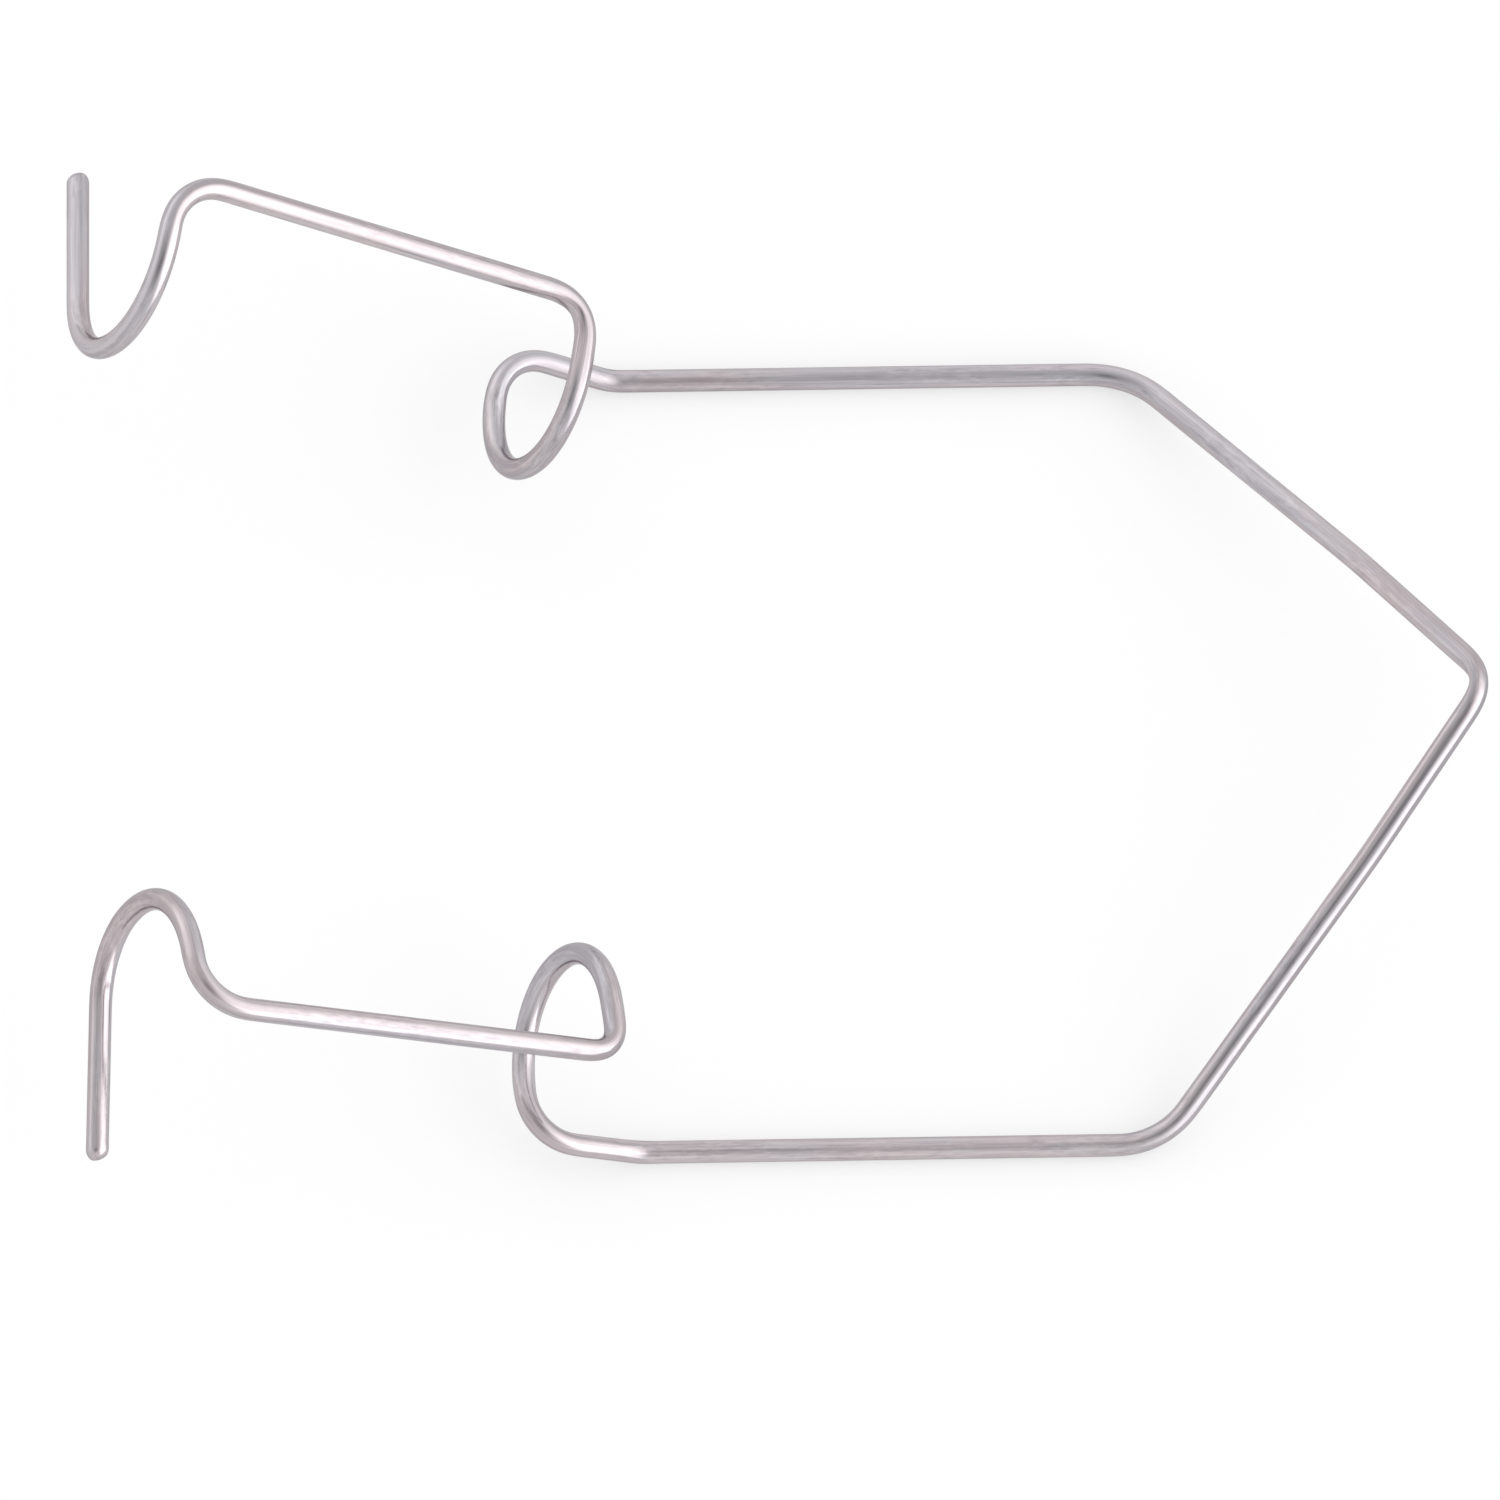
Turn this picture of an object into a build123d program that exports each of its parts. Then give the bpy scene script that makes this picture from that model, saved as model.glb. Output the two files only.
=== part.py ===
"""Wire eyelid speculum: one length of round stainless wire, bent by hand into a sprung V, two
straight arms and two lid ends. Each lid end is a first hook, a straight blade and a second hook.

It lies as it comes to rest, on its two straight arms. +X runs along the arms to the point of the
V, +Y is the left side, seen from the lid ends, and +Z is up. The origin is on the surface it lies
on, midway between the arms, at the corners where the arms turn up into the lid ends.

Lengths are in millimetres and angles in degrees. The length of a run is taken along the wire's
centre line, between the sharp corners that it would have without its bends.
"""

import os
from math import cos, radians, sin, tan

from build123d import *

# Wire
wire_diameter = 0.64

# Straight arms, which lie flat
arm_spacing = 23.2
arm_length = 14.7
arm_end_bend = 1.0

# V spring, which rises from the arms to its point
spring_reach = 9.3
spring_rise = 5.95
spring_shoulder_bend = 2.4
spring_point_bend = 1.05

# The legs of the V bow outwards a little: how far, how far back from the point, and how gently
leg_bow = 0.2
leg_bow_reach = 3.4
leg_bow_bend = 30.0

# Lid ends: how they leave the arms
lid_end_pitch = 25.5
lid_end_roll = 7.9
left_splay = 7.5
right_splay = 1.9
lead_in_length = 3.45
lead_in_bend = 1.35

# First hook, between the lead-in and the blade
first_hook_gap = 5.3
left_first_hook_outer_leg = 4.1
right_first_hook_outer_leg = 4.2
first_hook_outer_bend = 2.7
first_hook_inner_bend = 2.55
left_first_hook_inner_leg = 4.4
right_first_hook_inner_leg = 4.15

# Blade, which goes under the lid
left_blade_near_bend = 1.2
right_blade_near_bend = 0.85
left_blade_length = 13.2
right_blade_length = 13.3
blade_far_bend = 1.45

# Second hook, between the blade and the free leg
second_hook_gap = 4.8
second_hook_inner_leg = 4.4
second_hook_inner_bend = 2.9
second_hook_outer_bend = 2.5
free_leg_length = 6.25
free_leg_flare = 18.0


def lid_end_corners(splay, outer_leg, inner_leg, blade_length):
    """The corners of a lid end on the left side, from the arm's end to where the tip rounds off.

    They are set out in a frame of the lid end's own: x along the blade, away from the spring,
    y towards the other lid end, and z from the lead-in up to the blade.
    """
    arm_end = Vector(0, arm_spacing / 2, wire_diameter / 2)
    pitch = radians(lid_end_pitch)
    turn = radians(splay)
    along = Vector(-cos(pitch) * cos(turn), sin(turn), sin(pitch) * cos(turn))
    rise = Vector(sin(pitch), 0, cos(pitch)).rotate(Axis((0, 0, 0), along), -lid_end_roll)
    lid_frame = Plane(arm_end, x_dir=along, z_dir=rise)

    hook_x = lead_in_length
    tip_x = hook_x + blade_length
    blade_y = outer_leg - inner_leg
    second_y = blade_y + second_hook_inner_leg
    blade_z = first_hook_gap
    second_z = blade_z - second_hook_gap
    flare = radians(free_leg_flare)
    straight_leg = free_leg_length - wire_diameter / 2
    tip_y = second_y - straight_leg * cos(flare)
    tip_z = second_z - straight_leg * sin(flare)
    local_corners = [
        (0, 0, 0),
        (hook_x, 0, 0),
        (hook_x, outer_leg, 0),
        (hook_x, outer_leg, blade_z),
        (hook_x, blade_y, blade_z),
        (tip_x, blade_y, blade_z),
        (tip_x, second_y, blade_z),
        (tip_x, second_y, second_z),
        (tip_x, tip_y, tip_z),
    ]
    return [lid_frame.from_local_coords(Vector(*corner)) for corner in local_corners]


def lid_end_bends(near_bend):
    """The bend radii of a lid end, from the arm's end to the free leg."""
    return [
        arm_end_bend,
        lead_in_bend,
        first_hook_outer_bend,
        first_hook_inner_bend,
        near_bend,
        blade_far_bend,
        second_hook_inner_bend,
        second_hook_outer_bend,
    ]


def mirrored(corners):
    """The same corners on the other side of the plane midway between the arms."""
    return [Vector(corner.X, -corner.Y, corner.Z) for corner in corners]


def bend_radii_that_fit(corners, radii):
    """The bend radii, with a bend that is too large for the runs beside it made smaller."""
    setbacks = [0.0]
    for before, corner, after, radius in zip(corners, corners[1:], corners[2:], radii):
        turn = (corner - before).get_angle(after - corner)
        setbacks.append(radius * tan(radians(turn / 2)))
    setbacks.append(0.0)
    most_of_a_run = 0.995
    shares = [1.0] * len(corners)
    for i, (start, end) in enumerate(zip(corners, corners[1:])):
        wanted = setbacks[i] + setbacks[i + 1]
        share = min(1.0, most_of_a_run * (end - start).length / wanted)
        shares[i] = min(shares[i], share)
        shares[i + 1] = min(shares[i + 1], share)
    return [radius * share for radius, share in zip(radii, shares[1:-1])]


# The lid ends, from the arms to the tips
left_end = lid_end_corners(
    left_splay, left_first_hook_outer_leg, left_first_hook_inner_leg, left_blade_length
)
right_end = mirrored(
    lid_end_corners(
        right_splay, right_first_hook_outer_leg, right_first_hook_inner_leg, right_blade_length
    )
)

# The V spring, from the left shoulder over the point to the right shoulder
left_shoulder = Vector(arm_length, arm_spacing / 2, wire_diameter / 2)
spring_point = Vector(arm_length + spring_reach, 0, wire_diameter / 2 + spring_rise)
straight_leg_bow = spring_point + (left_shoulder - spring_point) * (leg_bow_reach / spring_reach)
left_bow = straight_leg_bow + Vector(0, leg_bow, 0)
right_shoulder, right_bow = mirrored([left_shoulder, left_bow])
spring = [left_shoulder, left_bow, spring_point, right_bow, right_shoulder]
spring_bends = [
    spring_shoulder_bend,
    leg_bow_bend,
    spring_point_bend,
    leg_bow_bend,
    spring_shoulder_bend,
]

# The whole centre line's corners and bends, from the left tip round the spring to the right tip
wire_corners = [*reversed(left_end), *spring, *right_end]
left_end_bends = lid_end_bends(left_blade_near_bend)
right_end_bends = lid_end_bends(right_blade_near_bend)
wire_bends = bend_radii_that_fit(
    wire_corners, [*reversed(left_end_bends), *spring_bends, *right_end_bends]
)

# The wire: its round section swept along the centre line, with a rounded tip at each end
with BuildPart() as speculum_wire:
    with BuildLine():
        centre_line = FilletPolyline(*wire_corners, radius=wire_bends)
    with BuildSketch(Plane(centre_line @ 0, z_dir=centre_line % 0)):
        Circle(wire_diameter / 2)
    sweep()
    with Locations(centre_line @ 0, centre_line @ 1):
        Sphere(wire_diameter / 2)
speculum_wire.part.label = "speculum_wire"

os.makedirs("parts", exist_ok=True)
export_step(speculum_wire.part, "parts/speculum_wire.step")
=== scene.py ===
import math

import bpy
import numpy as np
from mathutils import Matrix, Vector


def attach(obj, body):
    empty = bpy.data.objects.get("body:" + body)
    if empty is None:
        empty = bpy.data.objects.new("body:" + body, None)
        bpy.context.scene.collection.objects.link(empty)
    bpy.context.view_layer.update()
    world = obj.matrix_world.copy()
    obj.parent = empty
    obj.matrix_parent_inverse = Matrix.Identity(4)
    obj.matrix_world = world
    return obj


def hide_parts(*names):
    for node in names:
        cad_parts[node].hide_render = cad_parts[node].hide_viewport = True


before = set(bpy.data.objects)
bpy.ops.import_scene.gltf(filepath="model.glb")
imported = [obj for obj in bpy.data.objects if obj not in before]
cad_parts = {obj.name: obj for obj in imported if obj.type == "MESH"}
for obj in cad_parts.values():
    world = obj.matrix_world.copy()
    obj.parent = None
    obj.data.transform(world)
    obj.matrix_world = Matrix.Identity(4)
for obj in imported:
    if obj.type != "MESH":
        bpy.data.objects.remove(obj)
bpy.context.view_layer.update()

MM = 0.001

# The wire's sizes, in millimetres and degrees, as the part has them
WIRE_RADIUS = 0.32
ARM_SPACING = 23.2
ARM_LENGTH = 14.7
ARM_END_BEND = 1.0
SPRING_REACH = 9.3
SPRING_RISE = 5.95
SPRING_SHOULDER_BEND = 2.4
SPRING_POINT_BEND = 1.05
LEG_BOW = 0.2
LEG_BOW_REACH = 3.4
LEG_BOW_BEND = 30.0
LID_END_PITCH = 25.5
LID_END_ROLL = 7.9
LEAD_IN_LENGTH = 3.45
LEAD_IN_BEND = 1.35
FIRST_HOOK_GAP = 5.3
FIRST_HOOK_OUTER_BEND = 2.7
FIRST_HOOK_INNER_BEND = 2.55
BLADE_FAR_BEND = 1.45
SECOND_HOOK_GAP = 4.8
SECOND_HOOK_INNER_LEG = 4.4
SECOND_HOOK_INNER_BEND = 2.9
SECOND_HOOK_OUTER_BEND = 2.5
FREE_LEG_LENGTH = 6.25
FREE_LEG_FLARE = 18.0
LEFT = {"splay": 7.5, "outer_leg": 4.1, "inner_leg": 4.4, "near_bend": 1.2, "blade": 13.2}
RIGHT = {"splay": 1.9, "outer_leg": 4.2, "inner_leg": 4.15, "near_bend": 0.85, "blade": 13.3}


# The centre line. It is drawn in steps, and its bends are eased over a short length

RING_STEP = 0.1
ARC_STEP = RING_STEP / 4
FEWEST_ARC_STEPS = 3
EASE_LENGTH = 0.2


def lid_end(side, mirror):
    """Corners and bends of one lid end, from the arm's end to the middle of the tip's dome."""
    pitch = math.radians(LID_END_PITCH)
    turn = math.radians(side["splay"])
    flare = math.radians(FREE_LEG_FLARE)
    level = math.cos(turn)
    along = Vector((-math.cos(pitch) * level, math.sin(turn), math.sin(pitch) * level))
    roll = Matrix.Rotation(-math.radians(LID_END_ROLL), 3, along)
    rise = roll @ Vector((math.sin(pitch), 0, math.cos(pitch)))
    across = rise.cross(along)
    start = Vector((0, ARM_SPACING / 2, WIRE_RADIUS))
    hook_x = LEAD_IN_LENGTH
    tip_x = hook_x + side["blade"]
    blade_y = side["outer_leg"] - side["inner_leg"]
    second_y = blade_y + SECOND_HOOK_INNER_LEG
    second_z = FIRST_HOOK_GAP - SECOND_HOOK_GAP
    leg = FREE_LEG_LENGTH - WIRE_RADIUS
    local = [
        (0, 0, 0),
        (hook_x, 0, 0),
        (hook_x, side["outer_leg"], 0),
        (hook_x, side["outer_leg"], FIRST_HOOK_GAP),
        (hook_x, blade_y, FIRST_HOOK_GAP),
        (tip_x, blade_y, FIRST_HOOK_GAP),
        (tip_x, second_y, FIRST_HOOK_GAP),
        (tip_x, second_y, second_z),
        (tip_x, second_y - leg * math.cos(flare), second_z - leg * math.sin(flare)),
    ]
    corners = [start + along * x + across * y + rise * z for x, y, z in local]
    if mirror:
        corners = [Vector((c.x, -c.y, c.z)) for c in corners]
    bends = [
        ARM_END_BEND,
        LEAD_IN_BEND,
        FIRST_HOOK_OUTER_BEND,
        FIRST_HOOK_INNER_BEND,
        side["near_bend"],
        BLADE_FAR_BEND,
        SECOND_HOOK_INNER_BEND,
        SECOND_HOOK_OUTER_BEND,
    ]
    return corners, bends


def rounded(corners, bends, step):
    """Points along the runs between the corners, each corner replaced by an arc of its radius."""
    points = [corners[0]]
    for before, corner, after, radius in zip(corners, corners[1:], corners[2:], bends):
        back = (before - corner).normalized()
        on = (after - corner).normalized()
        turn = math.pi - back.angle(on)
        middle = (back + on).normalized()
        centre = corner + middle * (radius / math.cos(turn / 2))
        first = corner + back * radius * math.tan(turn / 2) - centre
        last = corner + on * radius * math.tan(turn / 2) - centre
        count = max(FEWEST_ARC_STEPS, int(radius * turn / step))
        for i in range(count + 1):
            t = i / count
            spoke = first * math.sin((1 - t) * turn) + last * math.sin(t * turn)
            points.append(centre + spoke / math.sin(turn))
    points.append(corners[-1])
    return np.array([tuple(p) for p in points])


def evenly(points, step):
    """The same line with its points the same distance apart."""
    reach = np.r_[0, np.cumsum(np.linalg.norm(np.diff(points, axis=0), axis=1))]
    places = np.linspace(0, reach[-1], int(reach[-1] / step) + 1)
    return np.column_stack([np.interp(places, reach, points[:, k]) for k in range(3)])


def eased(points, spread):
    """The line with its changes of curvature spread over a short length, as in a hand-made bend."""
    count = int(4 * spread)
    weights = np.exp(-0.5 * (np.arange(-count, count + 1) / spread) ** 2)
    weights /= weights.sum()
    ahead = 2 * points[-1] - points[-2 : -count - 2 : -1]
    behind = 2 * points[0] - points[count:0:-1]
    padded = np.vstack([behind, points, ahead])
    return np.column_stack([np.convolve(padded[:, k], weights, mode="valid") for k in range(3)])


left_corners, left_bends = lid_end(LEFT, mirror=False)
right_corners, right_bends = lid_end(RIGHT, mirror=True)
shoulder = Vector((ARM_LENGTH, ARM_SPACING / 2, WIRE_RADIUS))
point = Vector((ARM_LENGTH + SPRING_REACH, 0, WIRE_RADIUS + SPRING_RISE))
bow = point + (shoulder - point) * (LEG_BOW_REACH / SPRING_REACH) + Vector((0, LEG_BOW, 0))
other_side = Matrix.Scale(-1, 3, (0, 1, 0))
spring = [shoulder, bow, point, other_side @ bow, other_side @ shoulder]
spring_bends = [
    SPRING_SHOULDER_BEND,
    LEG_BOW_BEND,
    SPRING_POINT_BEND,
    LEG_BOW_BEND,
    SPRING_SHOULDER_BEND,
]
line = rounded(
    [*reversed(left_corners), *spring, *right_corners],
    [*reversed(left_bends), *spring_bends, *right_bends],
    ARC_STEP,
)
line = eased(evenly(line, RING_STEP), EASE_LENGTH / RING_STEP)


# The wire's mesh

AROUND = 40
DOME_RINGS = 10

# How much thinner the section is in the plane of a bend of 1 mm radius, the most that it is
# thinned, and how much of that it gains across the plane
THINNING = 0.07
MOST_THINNING = 0.06
WIDENING = 0.5

# The curvature, per mm, from which a bend counts as fully worn
FULLY_WORN_BEND = 0.8

# Where the pin that the wire was bent round has pressed its inner side in, how far, as a share of
# the wire's radius, and how far the mark reaches along the wire
PIN_MARKS = ((point, 0.36), (left_corners[4], 0.25))
PIN_MARK_LENGTH = 0.28

# How far each ground tip's top lies off the wire's axis, as a share of its radius, and which way
LEFT_TIP_LEAN = Vector((0.35, 0, 0))
RIGHT_TIP_LEAN = Vector((-0.3, 0, 0))


def unit(v):
    return v / np.linalg.norm(v, axis=-1, keepdims=True)


def frames_along(points):
    """Tangents, and a pair of cross directions that turn with the line without twisting."""
    tangents = unit(np.gradient(points, axis=0))
    side = unit(np.cross(tangents[0], (0, 0, 1)))
    sides = [side]
    for i in range(1, len(points)):
        side = side - tangents[i] * (side @ tangents[i])
        side = unit(side)
        sides.append(side)
    sides = np.array(sides)
    return tangents, sides, np.cross(tangents, sides)


def pin_marks(points):
    """How far the inner side is pressed in at each point of the line."""
    reach = np.arange(len(points)) * RING_STEP
    pressed = np.zeros(len(points))
    for corner, amount in PIN_MARKS:
        middle = reach[np.argmin(np.linalg.norm(points - np.array(corner), axis=1))]
        pressed += amount * np.exp(-0.5 * ((reach - middle) / PIN_MARK_LENGTH) ** 2)
    return pressed


def wire_mesh(name, points):
    """A tube along the points with a dome at each end. It keeps each vertex's place on the wire."""
    tangents, sides, ups = frames_along(points)
    curvature = np.gradient(tangents, axis=0) / RING_STEP
    bend = np.linalg.norm(curvature, axis=1)
    inwards = curvature / np.maximum(bend, 1e-6)[:, None]
    pressed = pin_marks(points)
    angles = np.arange(AROUND) * 2 * math.pi / AROUND
    cos, sin = np.cos(angles), np.sin(angles)

    rings, coords, wear = [], [], []
    tilts = [math.pi / 2 * (1 - k / DOME_RINGS) for k in range(1, DOME_RINGS)]
    reach = np.arange(len(points)) * RING_STEP
    stations = [(0, t, -1) for t in tilts]
    stations += [(i, 0.0, 0) for i in range(len(points))]
    stations += [(len(points) - 1, t, 1) for t in reversed(tilts)]
    for i, tilt, end in stations:
        out = np.outer(cos, sides[i]) + np.outer(sin, ups[i])
        thinner = min(THINNING * bend[i], MOST_THINNING)
        wider = thinner * WIDENING
        plane = out @ inwards[i]
        squeezed = out * (1 + wider) - np.outer(plane, inwards[i]) * (thinner + wider)
        squeezed -= np.outer(np.maximum(plane, 0), inwards[i]) * pressed[i]
        radius = WIRE_RADIUS * math.cos(tilt)
        lean = np.array(LEFT_TIP_LEAN if end < 0 else RIGHT_TIP_LEAN)
        offset = tangents[i] * end * math.sin(tilt) + lean * (1 - math.cos(tilt))
        rings.append(points[i] + offset * WIRE_RADIUS + squeezed * radius)
        along = reach[i] + end * WIRE_RADIUS * math.sin(tilt)
        coords.append(np.column_stack([cos * radius, sin * radius, np.full(AROUND, along)]))
        wear.append(np.full(AROUND, min(1.0, bend[i] / FULLY_WORN_BEND)))

    poles = [
        points[0] + (np.array(LEFT_TIP_LEAN) - tangents[0]) * WIRE_RADIUS,
        points[-1] + (np.array(RIGHT_TIP_LEAN) + tangents[-1]) * WIRE_RADIUS,
    ]
    vertices = np.vstack([*rings, *poles]) * MM
    pole_coords = [(0, 0, -WIRE_RADIUS), (0, 0, reach[-1] + WIRE_RADIUS)]
    coords = np.vstack([*coords, *pole_coords])
    wear = np.r_[np.concatenate(wear), 0.0, 0.0]

    faces = []
    for ring in range(len(rings) - 1):
        low = ring * AROUND
        for k in range(AROUND):
            nxt = (k + 1) % AROUND
            faces.append((low + k, low + nxt, low + AROUND + nxt, low + AROUND + k))
    last = (len(rings) - 1) * AROUND
    start_pole = len(rings) * AROUND
    for k in range(AROUND):
        nxt = (k + 1) % AROUND
        faces.append((start_pole, nxt, k))
        faces.append((start_pole + 1, last + k, last + nxt))

    mesh = bpy.data.meshes.new(name)
    mesh.from_pydata([tuple(v) for v in vertices], [], faces)
    place = mesh.attributes.new("wire_coords", "FLOAT_VECTOR", "POINT")
    place.data.foreach_set("vector", coords.astype(np.float32).ravel())
    worn = mesh.attributes.new("bend_wear", "FLOAT", "POINT")
    worn.data.foreach_set("value", wear.astype(np.float32))
    mesh.validate()
    mesh.polygons.foreach_set("use_smooth", [True] * len(mesh.polygons))
    mesh.update()
    wire = bpy.data.objects.new(name, mesh)
    bpy.context.scene.collection.objects.link(wire)
    return wire


# Materials

# The steel where it is rosy and where it is cool, each from its darkest to its lightest, and the
# tint of its edges. Colours are in linear light
ROSY = ((0.412, 0.364, 0.380), (0.573, 0.511, 0.526))
COOL = ((0.392, 0.372, 0.399), (0.548, 0.522, 0.551))
EDGE_TINT = (0.72, 0.7, 0.71)

# How much of the drawn lines is fine, and how much the grain adds to them in tone and in relief
FINE_SHARE = 0.3
GRAIN_TONE = 0.5
GRAIN_RELIEF = 0.2

# The relief's depth, in metres, and how strongly it shows
RELIEF_DEPTH = 0.000012
RELIEF_STRENGTH = 0.5

# Roughness, from the darkest lines to the lightest, and what dull patches and worn bends add to it
SMOOTHEST = 0.09
ROUGHEST = 0.17
PATCH_ROUGHNESS = 0.05
BEND_ROUGHNESS = 0.03

# The tones of the darkest and of the lightest steel, and what worn bends take off the tone
DARKEST_TONE = 0.39
LIGHTEST_TONE = 0.61
BEND_DARKNESS = 0.03

# The floor, and how far it is lifted to white where it is seen
FLOOR_COLOUR = (0.88, 0.88, 0.88)
FLOOR_LIFT = 0.55


class Nodes:
    """Short calls that add and join shader nodes."""

    def __init__(self, tree):
        self.tree = tree

    def add(self, kind, **values):
        node = self.tree.nodes.new(kind)
        for key, value in values.items():
            setattr(node, key, value)
        return node

    def join(self, out, into):
        self.tree.links.new(out, into)

    def noise(self, place, across, along, scale, detail):
        """Noise at a place on the wire. The smaller along is beside across, the longer it is drawn."""
        stretched = self.add("ShaderNodeVectorMath", operation="MULTIPLY")
        self.join(place, stretched.inputs[0])
        stretched.inputs[1].default_value = (across, across, along)
        node = self.add("ShaderNodeTexNoise")
        self.join(stretched.outputs[0], node.inputs["Vector"])
        node.inputs["Scale"].default_value = scale
        node.inputs["Detail"].default_value = detail
        node.inputs["Roughness"].default_value = 0.6
        return node.outputs["Fac"]

    def between(self, value, low, high, out_low, out_high):
        node = self.add("ShaderNodeMapRange")
        self.join(value, node.inputs["Value"])
        keys = ("From Min", "From Max", "To Min", "To Max")
        for key, number in zip(keys, (low, high, out_low, out_high)):
            node.inputs[key].default_value = number
        return node.outputs["Result"]

    def math(self, operation, a, b=0.0):
        node = self.add("ShaderNodeMath", operation=operation)
        for socket, value in zip(node.inputs, (a, b)):
            if isinstance(value, float):
                socket.default_value = value
            else:
                self.join(value, socket)
        return node.outputs[0]

    def mixed(self, factor, low, high):
        node = self.add("ShaderNodeMix", data_type="RGBA")
        self.join(factor, node.inputs["Factor"])
        for socket, colour in ((node.inputs["A"], low), (node.inputs["B"], high)):
            if isinstance(colour, tuple):
                socket.default_value = (*colour, 1)
            else:
                self.join(colour, socket)
        return node.outputs["Result"]

    def bump(self, height, strength, depth):
        node = self.add("ShaderNodeBump")
        self.join(height, node.inputs["Height"])
        node.inputs["Strength"].default_value = strength
        node.inputs["Distance"].default_value = depth
        return node.outputs["Normal"]


def satin_steel():
    """Drawn stainless wire with a satin finish: fine lines along it, grain, and rubbed bends."""
    material = bpy.data.materials.new("satin_drawn_steel")
    material.use_nodes = True
    tree = material.node_tree
    n = Nodes(tree)
    shader = tree.nodes["Principled BSDF"]
    place = n.add("ShaderNodeAttribute", attribute_name="wire_coords").outputs["Vector"]
    bends = n.add("ShaderNodeAttribute", attribute_name="bend_wear").outputs["Fac"]

    # Patterns in the surface: lines drawn along the wire, and grain that shows in dull patches
    drawn = n.noise(place, across=1.0, along=0.012, scale=5.5, detail=2.0)
    fine = n.noise(place, across=1.0, along=0.03, scale=16.0, detail=1.5)
    drawn = n.math("MULTIPLY", drawn, 1 - FINE_SHARE)
    lines = n.math("ADD", drawn, n.math("MULTIPLY", fine, FINE_SHARE))
    grain = n.noise(place, across=1.0, along=0.25, scale=9.0, detail=2.5)
    patches = n.noise(place, across=1.0, along=0.5, scale=0.9, detail=2.0)
    dulled = n.between(patches, 0.42, 0.6, 0.1, 1.0)
    spots = n.math("MULTIPLY", n.math("SUBTRACT", grain, 0.5), dulled)

    # Colour: darker and lighter with the patterns, a little darker in the bends, and rosy or cool
    tone = n.math("ADD", lines, n.math("MULTIPLY", spots, GRAIN_TONE))
    tone = n.math("SUBTRACT", tone, n.math("MULTIPLY", bends, BEND_DARKNESS))
    tone = n.between(tone, DARKEST_TONE, LIGHTEST_TONE, 0.0, 1.0)
    hue = n.noise(place, across=1.3, along=0.1, scale=1.0, detail=2.0)
    hue = n.between(hue, 0.42, 0.58, 0.0, 1.0)
    colour = n.mixed(hue, n.mixed(tone, *ROSY), n.mixed(tone, *COOL))
    n.join(colour, shader.inputs["Base Color"])

    # Gloss: duller in the patches and in the bends
    rough = n.between(lines, 0.35, 0.65, SMOOTHEST, ROUGHEST)
    rough = n.math("ADD", rough, n.math("MULTIPLY", bends, BEND_ROUGHNESS))
    rough = n.math("ADD", rough, n.math("MULTIPLY", dulled, PATCH_ROUGHNESS))
    n.join(rough, shader.inputs["Roughness"])

    height = n.math("ADD", lines, n.math("MULTIPLY", spots, GRAIN_RELIEF))
    n.join(n.bump(height, RELIEF_STRENGTH, RELIEF_DEPTH), shader.inputs["Normal"])
    shader.inputs["Metallic"].default_value = 1.0
    shader.inputs["Specular Tint"].default_value = (*EDGE_TINT, 1)
    return material


def plain_floor():
    """Matt and pale, and half lifted to white where it is seen, straight or in the metal."""
    material = bpy.data.materials.new("pale_floor")
    material.use_nodes = True
    n = Nodes(material.node_tree)
    paper = material.node_tree.nodes["Principled BSDF"]
    paper.inputs["Base Color"].default_value = (*FLOOR_COLOUR, 1)
    paper.inputs["Roughness"].default_value = 0.9
    paper.inputs["Specular IOR Level"].default_value = 0.1
    white = n.add("ShaderNodeEmission")
    white.inputs["Strength"].default_value = 1.0
    ray = n.add("ShaderNodeLightPath").outputs
    seen = n.math("MAXIMUM", ray["Is Camera Ray"], ray["Is Glossy Ray"])
    seen = n.math("MAXIMUM", seen, ray["Is Transmission Ray"])
    mix = n.add("ShaderNodeMixShader")
    n.join(n.math("MULTIPLY", seen, FLOOR_LIFT), mix.inputs["Fac"])
    n.join(paper.outputs["BSDF"], mix.inputs[1])
    n.join(white.outputs["Emission"], mix.inputs[2])
    n.join(mix.outputs["Shader"], material.node_tree.nodes["Material Output"].inputs["Surface"])
    return material


# The object

wire = wire_mesh("satin_wire", line)
wire.data.materials.append(satin_steel())
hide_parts("speculum_wire")
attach(wire, "root")


# The floor

FLOOR_HALF = 3.0

floor_corners = [
    (-FLOOR_HALF, -FLOOR_HALF, 0),
    (FLOOR_HALF, -FLOOR_HALF, 0),
    (FLOOR_HALF, FLOOR_HALF, 0),
    (-FLOOR_HALF, FLOOR_HALF, 0),
]
floor_mesh = bpy.data.meshes.new("floor")
floor_mesh.from_pydata(floor_corners, [], [(0, 1, 2, 3)])
floor = bpy.data.objects.new("floor", floor_mesh)
bpy.context.scene.collection.objects.link(floor)
floor_mesh.materials.append(plain_floor())


# Light: one large soft window on the spring's side, in an even room with soft bright areas near
# the horizon and soft dark ones high up. It is all in the world

# How far a direction has to face the window to have its full light, and the least depth that a
# place in the window is worked out with
FACING = 0.1
LEAST_DEPTH = 0.001


def direction(azimuth, elevation):
    """The unit vector that way: azimuth from +X towards +Y, in degrees."""
    a, e = math.radians(azimuth), math.radians(elevation)
    return Vector((math.cos(a) * math.cos(e), math.sin(a) * math.cos(e), math.sin(e)))


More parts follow.
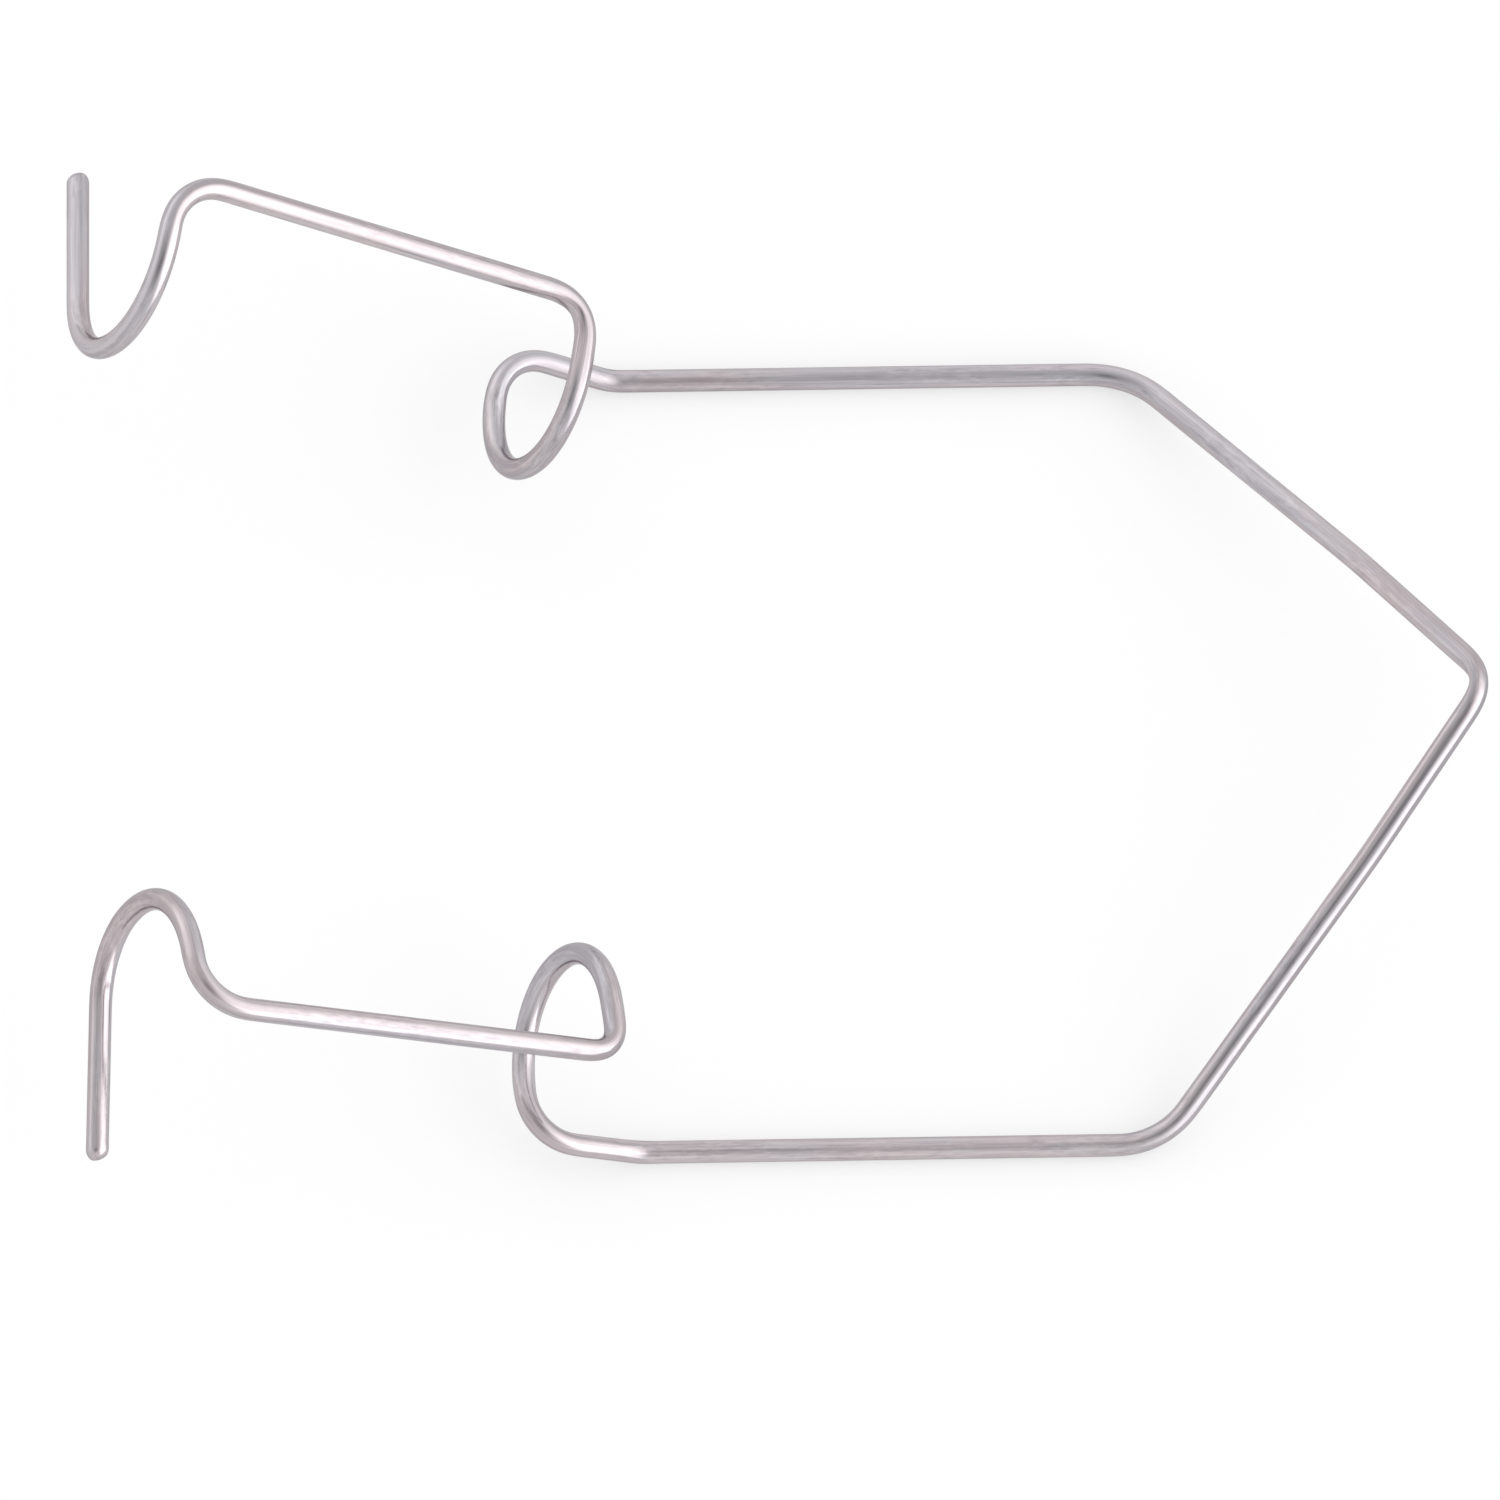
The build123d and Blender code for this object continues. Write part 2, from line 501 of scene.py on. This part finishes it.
class Room(Nodes):
    """The light that comes from each way round the object."""

    def __init__(self, level):
        world = bpy.data.worlds.new("room")
        world.use_nodes = True
        bpy.context.scene.world = world
        super().__init__(world.node_tree)
        self.way = self.add("ShaderNodeTexCoord").outputs["Generated"]
        self.total = level

    def towards(self, vector):
        """How far each way points along the vector."""
        dot = self.add("ShaderNodeVectorMath", operation="DOT_PRODUCT")
        self.join(self.way, dot.inputs[0])
        dot.inputs[1].default_value = vector
        return dot.outputs["Value"]

    def area(self, azimuth, elevation, width, amount):
        """Adds light, or takes it away, softly round one direction. The width is in degrees."""
        sharpness = 1 / math.radians(width) ** 2
        short = self.math("SUBTRACT", self.towards(direction(azimuth, elevation)), 1.0)
        fall = self.math("EXPONENT", self.math("MULTIPLY", short, sharpness))
        self.total = self.math("ADD", self.math("MULTIPLY", fall, amount), self.total)

    def window(self, facing, roll, low, high, edge, amount):
        """Adds a soft-edged rectangle in the plane that faces the object from a distance of one.

        Its corners, low and high, are places in that plane, across it and up it.
        """
        back = direction(*facing)
        level = Vector((0, 0, 1)).cross(back).normalized()
        across = Matrix.Rotation(math.radians(roll), 3, back) @ level
        rising = back.cross(across)
        depth = self.math("MAXIMUM", self.towards(back), LEAST_DEPTH)
        light = self.soft_step(self.towards(back), 0.0, FACING)
        for axis, start, end in ((across, low[0], high[0]), (rising, low[1], high[1])):
            place = self.math("DIVIDE", self.towards(axis), depth)
            light = self.math("MULTIPLY", light, self.soft_step(place, start - edge, start + edge))
            light = self.math("MULTIPLY", light, self.soft_step(place, end + edge, end - edge))
        self.total = self.math("ADD", self.math("MULTIPLY", light, amount), self.total)

    def soft_step(self, value, start, end):
        node = self.add("ShaderNodeMapRange", interpolation_type="SMOOTHSTEP")
        self.join(value, node.inputs["Value"])
        node.inputs["From Min"].default_value = start
        node.inputs["From Max"].default_value = end
        return node.outputs["Result"]

    def lit(self):
        background = self.tree.nodes["Background"]
        background.inputs["Color"].default_value = (1, 1, 1, 1)
        self.join(self.total, background.inputs["Strength"])


room = Room(level=1.0)
room.window(
    facing=(-3, 24.5), roll=-32, low=(-1.27, -9.0), high=(0.3, 0.69), edge=0.7, amount=1.25
)
room.area(azimuth=-15, elevation=4, width=11, amount=1.0)
room.area(azimuth=-70, elevation=3, width=13, amount=0.22)
room.area(azimuth=131, elevation=17, width=18, amount=0.45)
room.area(azimuth=166, elevation=3, width=14, amount=0.15)
room.area(azimuth=172, elevation=46, width=11, amount=-0.18)
room.area(azimuth=-126, elevation=63, width=17, amount=-0.6)
room.lit()


# Camera: a long lens, at the photograph's angle and framing. Its azimuth is from -Y towards +X

CAMERA_AZIMUTH = -10.39
CAMERA_ELEVATION = 69.01
CAMERA_ROLL = -8.86
CAMERA_DISTANCE = 1.4
AIM = Vector((3.258, -1.140, 4.464)) * MM
FRAME_WIDTH = 42.094 * MM
SENSOR = 36.0

a, e = math.radians(CAMERA_AZIMUTH), math.radians(CAMERA_ELEVATION)
back = Vector((math.sin(a) * math.cos(e), -math.cos(a) * math.cos(e), math.sin(e)))
up = (Vector((0, 0, 1)) - back * back.z).normalized()
up = Matrix.Rotation(-math.radians(CAMERA_ROLL), 3, back) @ up
right = up.cross(back)
camera_data = bpy.data.cameras.new("camera")
camera_data.sensor_width = SENSOR
camera_data.lens = SENSOR * CAMERA_DISTANCE / FRAME_WIDTH
camera_data.clip_start = 0.1
camera_data.clip_end = 10.0
camera = bpy.data.objects.new("camera", camera_data)
turned = Matrix((right, up, back)).transposed().to_4x4()
camera.matrix_world = Matrix.Translation(AIM + back * CAMERA_DISTANCE) @ turned
bpy.context.scene.collection.objects.link(camera)
bpy.context.scene.camera = camera
bpy.context.scene.view_settings.view_transform = "Standard"
